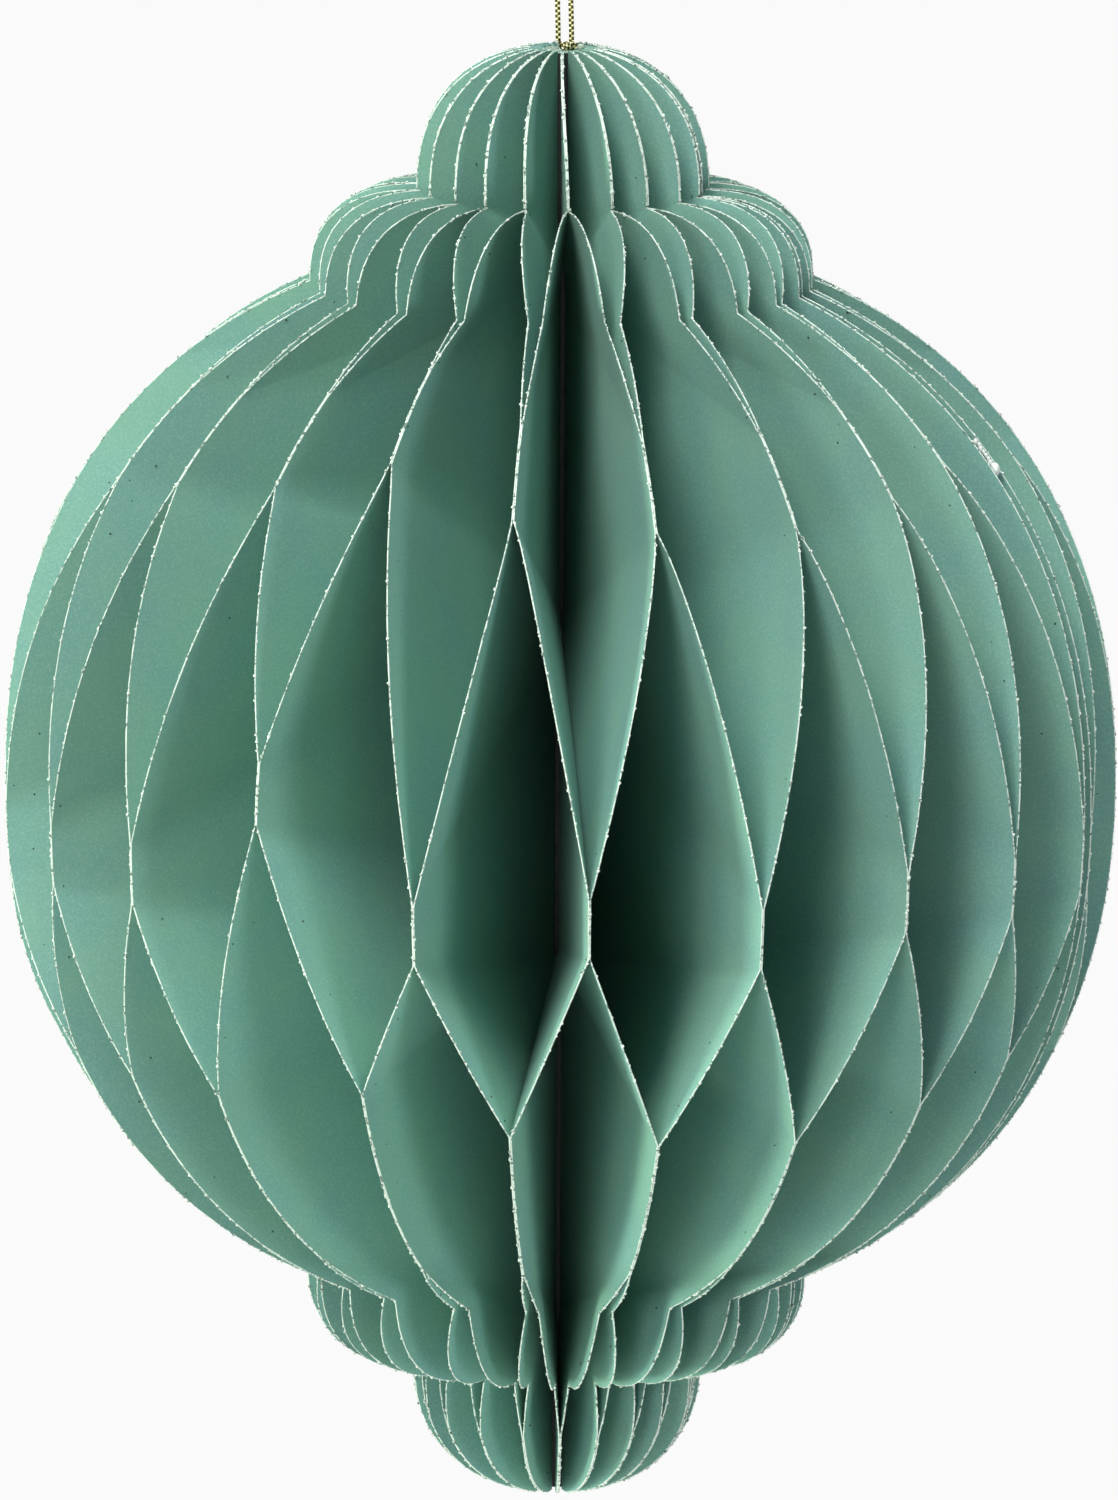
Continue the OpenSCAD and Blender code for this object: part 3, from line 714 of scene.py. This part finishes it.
class ORNAMENT_OT_stage(bpy.types.Operator):
    """Pale floor, soft boxes and the camera"""
    bl_idname = "ornament.stage"
    bl_label = "Stage and camera"

    def execute(self, context):
        look = context.scene.ornament_stage
        form = Form(context.scene.ornament_sizes)
        bm = bmesh.new()
        bmesh.ops.create_grid(bm, x_segments=1, y_segments=1, size=FLOOR_HALF,
                              matrix=Matrix.Translation((0, 0, -look.floor_drop * MM)))
        mesh = bpy.data.meshes.new("floor")
        bm.to_mesh(mesh)
        bm.free()
        floor = bpy.data.objects.new("floor", mesh)
        context.scene.collection.objects.link(floor)
        tree, out = new_material("pale_floor")
        share = add_node(tree, "ShaderNodeMath", {"operation": "MULTIPLY"},
                         {0: seen_directly(tree), 1: FLOOR_WHITE}).outputs[0]
        matt = add_node(tree, "ShaderNodeBsdfDiffuse", None, {"Color": tuple(look.floor_colour)})
        white = add_node(tree, "ShaderNodeEmission", None, {"Color": WHITE, "Strength": 1})
        both = add_node(tree, "ShaderNodeMixShader", None,
                        {0: share, 1: matt.outputs["BSDF"], 2: white.outputs["Emission"]})
        tree.links.new(both.outputs["Shader"], out.inputs["Surface"])
        mesh.materials.append(bpy.data.materials["pale_floor"])

        world = bpy.data.worlds.new("soft_room")
        world.use_nodes = True
        tree = world.node_tree
        tree.nodes.clear()
        level = add_node(tree, "ShaderNodeMapRange", None,
                         {"Value": seen_directly(tree), "To Min": look.sky, "To Max": 1}).outputs["Result"]
        sky = add_node(tree, "ShaderNodeBackground", None, {"Color": WHITE, "Strength": level})
        end = add_node(tree, "ShaderNodeOutputWorld", None, {"Surface": sky.outputs["Background"]})
        end.is_active_output = True
        context.scene.world = world

        middle = Vector((0, 0, form.middle * MM))
        for name, azimuth, rise, power, colour in (
                ("left_soft_box", -65, -14, look.left_light, "#F2FFEE"),
                ("key_soft_box", -28, 58, look.key_light, "#FFFEFB"),
                ("front_soft_box", -20, 5, look.front_light, "#FFFFFF"),
                ("right_soft_box", 42, -10, look.right_light, "#F0F9FF"),
                ("top_soft_box", 0, 78, look.top_light, "#ECFCFF"),
                ("back_soft_box", 175, 12, look.back_light, "#FFFFFF")):
            a, e = math.radians(azimuth), math.radians(rise)
            way = Vector((math.sin(a) * math.cos(e), -math.cos(a) * math.cos(e), math.sin(e)))
            lamp = bpy.data.lights.new(name, "AREA")
            lamp.shape = "SQUARE"
            lamp.size = BOX_WIDTH
            lamp.energy = power
            lamp.color = linear(colour)[:3]
            box = bpy.data.objects.new(name, lamp)
            box.location = middle + way * BOX_REACH
            box.rotation_mode = "QUATERNION"
            box.rotation_quaternion = (-way).to_track_quat("-Z", "Y")
            context.scene.collection.objects.link(box)

        lens = bpy.data.cameras.new("camera")
        lens.sensor_width = SENSOR
        lens.lens = SENSOR * look.distance / VIEW_HEIGHT
        lens.clip_start, lens.clip_end = 0.1, 100
        camera = bpy.data.objects.new("camera", lens)
        e = math.radians(look.elevation)
        back = Vector((0, -math.cos(e), math.sin(e)))
        aim = middle + Vector(AIM) * MM
        camera.location = aim + back * look.distance * MM
        camera.rotation_mode = "QUATERNION"
        roll = Quaternion((0, 0, 1), math.radians(look.roll))
        camera.rotation_quaternion = (-back).to_track_quat("-Z", "Y") @ roll
        context.scene.collection.objects.link(camera)
        context.scene.camera = camera
        context.scene.view_settings.view_transform = "Standard"
        return {"FINISHED"}


class ORNAMENT_OT_materials(bpy.types.Operator):
    """Card, glitter, cord, spine and glue"""
    bl_idname = "ornament.materials"
    bl_label = "Materials"

    def execute(self, context):
        look = context.scene.ornament_finish
        dyed_card()
        for kind, colour in (("silver", look.glitter), ("thin", look.thin_glitter),
                             ("dark", look.painted_shade_glitter), ("dull", look.dull_glitter)):
            glued_glitter("glued_%s_glitter" % kind, colour)
        braided_lurex()
        spine_ends_and_shade()
        dried_glue()
        return {"FINISHED"}


def braid(points, width, piece_name, replaced):
    """A braided cord along a line of points: two rows of loops that stand out of its round core."""
    look = bpy.context.scene.ornament_finish
    last = len(points) - 1
    reach = [0]
    for a, b in zip(points, points[1:]):
        reach.append(reach[-1] + (b - a).length / MM)

    def place(u, v):
        k, n = round(u * last), round(v * CORD_SIDES) % CORD_SIDES
        along = direction_at(points, k)
        across = along.cross(Vector((0, 1, 0))).normalized()
        turn = math.tau * n / CORD_SIDES
        wave = math.sin(math.tau * reach[k] / look.stitch) * math.sin(2 * turn)
        r = width / 2 * (CORD_CORE - CORD_LOOPS * wave)
        return points[k] + (across * math.cos(turn) + Vector((0, 1, 0)) * math.sin(turn)) * r

    def uv_at(u, v):
        return reach[round(u * last)] / look.stitch, v * 2

    bm = closed_tube(CORD_SIDES, last, place, uv_at)
    finish = [bpy.data.materials["braided_lurex_cord"]]
    return finish_piece(piece_name, bm, finish, replaced)


def through(points, steps):
    """A smooth line through points, with a number of steps from each to the next."""
    line = []
    for k in range(len(points) - 1):
        p = [Vector(points[min(max(k + d, 0), len(points) - 1)]) for d in (-1, 0, 1, 2)]
        for n in range(steps):
            t = n / steps
            line.append(0.5 * (2 * p[1] + (p[2] - p[0]) * t + (2 * p[0] - 5 * p[1] + 4 * p[2] - p[3]) * t * t
                               + (3 * p[1] - p[0] - 3 * p[2] + p[3]) * t ** 3))
    line.append(Vector(points[-1]))
    return line


class ORNAMENT_OT_cord(bpy.types.Operator):
    """Braided gold cord that loops over whatever holds the ornament"""
    bl_idname = "ornament.cord"
    bl_label = "Hanging cord"

    def execute(self, context):
        sizes = context.scene.ornament_sizes
        line = through(CORD_ROUTE, CORD_STEPS)
        cord = braid(line, sizes.cord_d * MM, "gold_cord", ["hanging_cord"])
        return {"FINISHED"}


class ORNAMENT_OT_knot(bpy.types.Operator):
    """Overhand knot that keeps the cord from slipping out of the spine"""
    bl_idname = "ornament.knot"
    bl_label = "Cord knot"

    def execute(self, context):
        low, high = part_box("cord_knot")
        middle = (Vector(low) + Vector(high)) / 2
        line = []
        for k in range(KNOT_STEPS + 1):
            t = math.tau * k / KNOT_STEPS
            line.append(middle + Vector((math.sin(t) + 2 * math.sin(2 * t), math.cos(t) - 2 * math.cos(2 * t),
                                         -KNOT_HEIGHT * math.sin(3 * t))) * (KNOT_SIZE * MM))
        braid(line, KNOT_CORD * MM, "tied_knot", ["cord_knot"])
        return {"FINISHED"}


class ORNAMENT_OT_spine(bpy.types.Operator):
    """Material of the bound spine, and the glitter that the glue holds on its top"""
    bl_idname = "ornament.spine"
    bl_label = "Spine"

    def execute(self, context):
        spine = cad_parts["spine"]
        spine.data.materials.clear()
        # This material paints shade on the spine's sides
        spine.data.materials.append(bpy.data.materials["spine_ends_and_painted_shade"])
        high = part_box("spine")[1]
        rand = random.Random(11)
        bm = bmesh.new()
        grain = grain_mesh()
        for n in range(CAP_GRAINS):
            turn, r = rand.uniform(0, math.tau), high.x * math.sqrt(rand.uniform(0.05, 0.95))
            spot = Vector((r * math.sin(turn), r * math.cos(turn), high.z))
            add_grain(bm, grain, Matrix.Translation(spot) @ Matrix.Scale(rand.uniform(*CAP_WIDTHS) * MM, 4))
        bpy.data.meshes.remove(grain)
        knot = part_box("cord_knot")[1]
        bmesh.ops.create_icosphere(bm, subdivisions=2, radius=CAP_LUMP * MM,
                                   matrix=Matrix.Translation((knot.x, -0.5 * MM, high.z + 0.5 * MM)))
        finish = [bpy.data.materials["glued_dull_glitter"]]
        finish_piece("glitter_on_spine", bm, finish, smooth=False)
        return {"FINISHED"}


class ORNAMENT_OT_leaves(bpy.types.Operator):
    """All leaves that zigzag between their glue lines, with their glittered edges"""
    bl_idname = "ornament.leaves"
    bl_label = "Leaves"

    def execute(self, context):
        form = Form(context.scene.ornament_sizes)
        for j in range(1, form.leaves + 1):
            rungs = form.rungs(j)
            places = [form.leaf_place(j, rung) for rung in rungs]
            leaf_sheet("paper_leaf_%02d" % j, form, rungs, places, "leaf_%02d" % j)
            glitter_edge("glitter_%02d" % j, form, rungs, places, j)
        return {"FINISHED"}


class ORNAMENT_OT_seam(bpy.types.Operator):
    """The two flat leaves of the seam, with their glittered edges and a drop of glue"""
    bl_idname = "ornament.seam"
    bl_label = "Seam leaves"

    def execute(self, context):
        sizes = context.scene.ornament_sizes
        form = Form(sizes)
        for name, j, side in (("left", 1, -1), ("right", form.leaves, 1)):
            rungs = form.rungs(j)
            places = [(sizes.seam_angle + side * sizes.seam_open / 2, side * form.room / 2)] * len(rungs)
            leaf_sheet("paper_seam_" + name, form, rungs, places, "seam_leaf_" + name)
            glitter_edge("glitter_seam_" + name, form, rungs, places, 100 + j)
        bm = bmesh.new()
        rand = random.Random(7)
        for k in range(DROP_LUMPS):
            z = form.middle + DROP_HEIGHT + DROP_STEP * k
            spot = form.spot_at(sizes.seam_angle, form.ball_radius(z), rand.uniform(-0.3, 0.3), z)
            width = rand.uniform(*STREAK_WIDTHS) if k else DROP_WIDTH
            shape = Matrix.Diagonal((width, width, 1.5 * width, 1 / MM)) * MM
            bmesh.ops.create_icosphere(bm, subdivisions=2, radius=1, matrix=Matrix.Translation(spot) @ shape)
        finish_piece("glue_drop", bm, [bpy.data.materials["dried_white_glue"]])
        return {"FINISHED"}


class ORNAMENT_PT_panel(bpy.types.Panel):
    """Sizes, finishes and the steps that make the ornament"""
    bl_label = "Paper onion ornament"
    bl_idname = "ORNAMENT_PT_panel"
    bl_space_type = "VIEW_3D"
    bl_region_type = "UI"
    bl_category = "Ornament"

    def draw(self, context):
        scene = context.scene
        for group in (scene.ornament_sizes, scene.ornament_finish, scene.ornament_stage):
            box = self.layout.box()
            for name in group.__annotations__:
                box.prop(group, name)
        for operator in OPERATORS:
            self.layout.operator(operator.bl_idname)


OPERATORS = [ORNAMENT_OT_stage, ORNAMENT_OT_materials, ORNAMENT_OT_cord, ORNAMENT_OT_knot, ORNAMENT_OT_spine,
             ORNAMENT_OT_leaves, ORNAMENT_OT_seam]
CLASSES = [OrnamentSizes, OrnamentFinish, StageLook, *OPERATORS, ORNAMENT_PT_panel]


def register():
    for item in CLASSES:
        bpy.utils.register_class(item)
    bpy.types.Scene.ornament_sizes = PointerProperty(type=OrnamentSizes)
    bpy.types.Scene.ornament_finish = PointerProperty(type=OrnamentFinish)
    bpy.types.Scene.ornament_stage = PointerProperty(type=StageLook)


def unregister():
    del bpy.types.Scene.ornament_stage
    del bpy.types.Scene.ornament_finish
    del bpy.types.Scene.ornament_sizes
    for item in reversed(CLASSES):
        bpy.utils.unregister_class(item)


def main():
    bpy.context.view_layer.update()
    register()
    bpy.ops.ornament.stage()
    bpy.ops.ornament.materials()
    bpy.ops.ornament.cord()
    bpy.ops.ornament.knot()
    bpy.ops.ornament.spine()
    bpy.ops.ornament.leaves()
    bpy.ops.ornament.seam()


if __name__ == "__main__":
    main()
